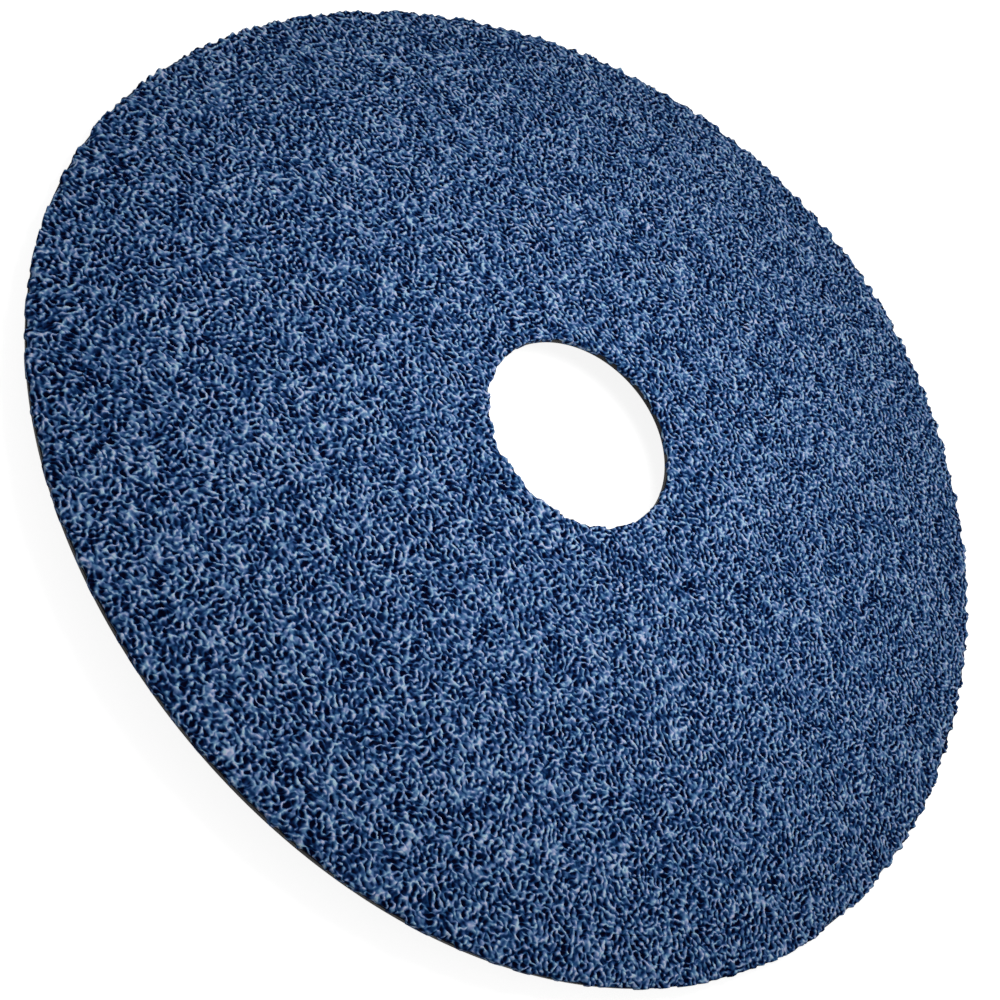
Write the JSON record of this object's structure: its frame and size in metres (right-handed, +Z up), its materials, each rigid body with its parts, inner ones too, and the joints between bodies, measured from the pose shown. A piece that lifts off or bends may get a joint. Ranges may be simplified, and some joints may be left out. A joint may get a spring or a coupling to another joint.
{
  "type": "fibre sanding disc",
  "caption": "Round coarse-grit fibre sanding disc with a central arbor hole and a slight curl, lying grain side up.",
  "frame": {"origin": "On the axis of the bore, at the height of the flat surface that the disc lies on.", "axes": "+X runs across the curl, so the two rim ends at +X and -X touch the surface. +Y runs along the line where the disc stands highest. +Z points up, away from the surface, on the grain side."},
  "size_m": [0.1147, 0.115, 0.0061],
  "materials": {
    "vulcanised_fibre": "satin",
    "abrasive_grain": "matte"
  },
  "bodies": {
    "root": {"fibre_backing": "vulcanised_fibre", "abrasive_coat": "abrasive_grain"}
  },
  "joints": []
}
